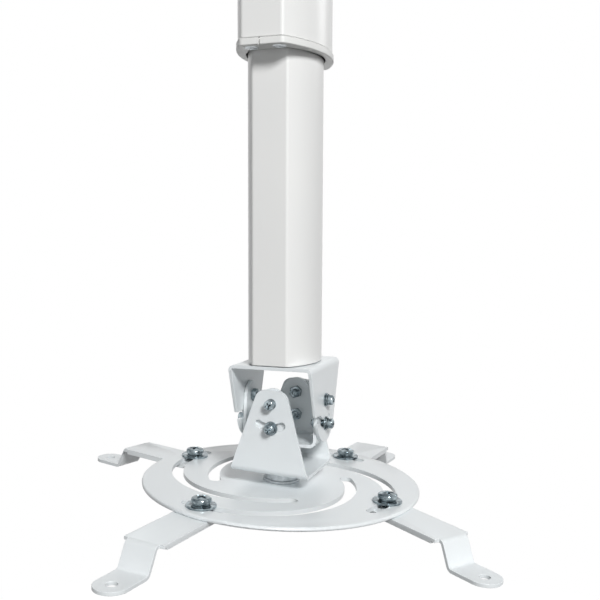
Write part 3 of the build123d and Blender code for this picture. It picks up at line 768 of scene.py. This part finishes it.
def by_ray(tree, for_bounces, for_eyes):
    """One shader for light that bounces, another for rays to the eye, reflections and glass."""
    path = new_node(tree, "LightPath")
    most = path.outputs["Is Camera Ray"]
    for other in ("Is Glossy Ray", "Is Transmission Ray"):
        larger = new_node(tree, "Math")
        larger.operation = "MAXIMUM"
        tree.links.new(most, larger.inputs[0])
        link(tree, path, other, larger, 1)
        most = larger.outputs[0]
    chosen = new_node(tree, "MixShader")
    tree.links.new(most, chosen.inputs[0])
    link(tree, for_bounces, 0, chosen, 1)
    link(tree, for_eyes, 0, chosen, 2)
    return chosen


floor_paint = bpy.data.materials.new("floor_pale")
floor_paint.use_nodes = True
tree = floor_paint.node_tree
tree.nodes.clear()
dull = new_node(tree, "BsdfDiffuse", {"Color": (bounce_grey, bounce_grey, bounce_grey, 1)})
pale = new_node(tree, "BsdfDiffuse", {"Color": (seen_grey, seen_grey, seen_grey, 1)})
glow = new_node(tree, "Emission", {"Strength": floor_glow})
plain_white = new_node(tree, "Emission", {"Strength": 1.0})
lifted = new_node(tree, "AddShader")
link(tree, pale, 0, lifted, 0)
link(tree, glow, 0, lifted, 1)
place = new_node(tree, "TexCoord")
flat_place = new_node(tree, "VectorMath", {1: (1, 1, 0)})
flat_place.operation = "MULTIPLY"
away = new_node(tree, "VectorMath")
away.operation = "LENGTH"
fade = new_node(tree, "MapRange", {"From Min": fade_from, "From Max": fade_to})
link(tree, place, "Object", flat_place, 0)
link(tree, flat_place, 0, away, 0)
link(tree, away, "Value", fade, "Value")
whitened = new_node(tree, "MixShader")
link(tree, fade, 0, whitened, 0)
link(tree, lifted, 0, whitened, 1)
link(tree, plain_white, 0, whitened, 2)
output = new_node(tree, "OutputMaterial")
link(tree, by_ray(tree, dull, whitened), 0, output, "Surface")
floor_mesh.materials.append(floor_paint)

world = bpy.data.worlds.new("studio")
bpy.context.scene.world = world
world.use_nodes = True
tree = world.node_tree
tree.nodes.clear()
fill = new_node(tree, "Background", {"Color": sky_tint, "Strength": sky_strength})
white = new_node(tree, "Background", {"Color": (1, 1, 1, 1), "Strength": 1.0})
output = new_node(tree, "OutputWorld")
link(tree, by_ray(tree, fill, white), 0, output, "Surface")
print("floor at", floor_z, "m")

# %% [markdown]
# ## Light
#
# The key lamp stands at the right and above, and models the tubes. A weak fill from the front opens
# the shadows. A small weak lamp behind the right side puts a gleam on the edges that face it. A
# broad fill from behind keeps the back readable, and hardly reaches the faces in the picture.


# %% Lamps
def soft_lamp(name, bearing, elevation, distance, size, power, in_reflections):
    """A square lamp on a sphere round the head: bearing from the front to the right, then up."""
    middle = Vector((0, 0, pivot_z * metre))
    b, e = math.radians(bearing), math.radians(elevation)
    direction = Vector((math.sin(b) * math.cos(e), -math.cos(b) * math.cos(e), math.sin(e)))
    light = bpy.data.lights.new(name, "AREA")
    light.shape, light.size, light.energy = "SQUARE", size, power
    lamp = new_object(name, light)
    lamp.location = middle + direction * distance
    lamp.rotation_euler = direction.to_track_quat("Z", "Y").to_euler()
    lamp.visible_glossy = in_reflections
    print(f"{name}: {power} W from {distance} m")


soft_lamp("key", 40, 34, distance=2.4, size=0.55, power=52, in_reflections=True)
soft_lamp("front_fill", 12, 2, distance=2.6, size=1.2, power=7, in_reflections=False)
soft_lamp("side_strip", 148, 26, distance=1.8, size=0.45, power=1.5, in_reflections=True)
soft_lamp("back_fill", 200, 8, distance=2.2, size=1.4, power=24, in_reflections=False)

# %% [markdown]
# ## The camera
#
# The photograph was taken from the right of the front, with the lens just above the tilting head
# and pointing slightly down. The view keeps a small upward shift, as the picture was cut that way.

# %% Camera
camera_at = Vector((0.2094, -0.5755, -0.4279))
look_down, look_left, roll = 6.314, 19.036, 0.27
lens = bpy.data.cameras.new("camera")
lens.sensor_width, lens.lens = 36.0, 51.82
lens.shift_x, lens.shift_y = 0.0, 0.05
lens.clip_start, lens.clip_end = 0.01, 50.0
camera = new_object("camera", lens)
camera.matrix_world = (Matrix.Translation(camera_at)
                       @ Matrix.Rotation(math.radians(look_left), 4, "Z")
                       @ Matrix.Rotation(math.radians(90 - look_down), 4, "X")
                       @ Matrix.Rotation(math.radians(roll), 4, "Z"))
bpy.context.scene.camera = camera
bpy.context.scene.view_settings.view_transform = "Standard"
print("camera at", tuple(round(v, 3) for v in camera_at))
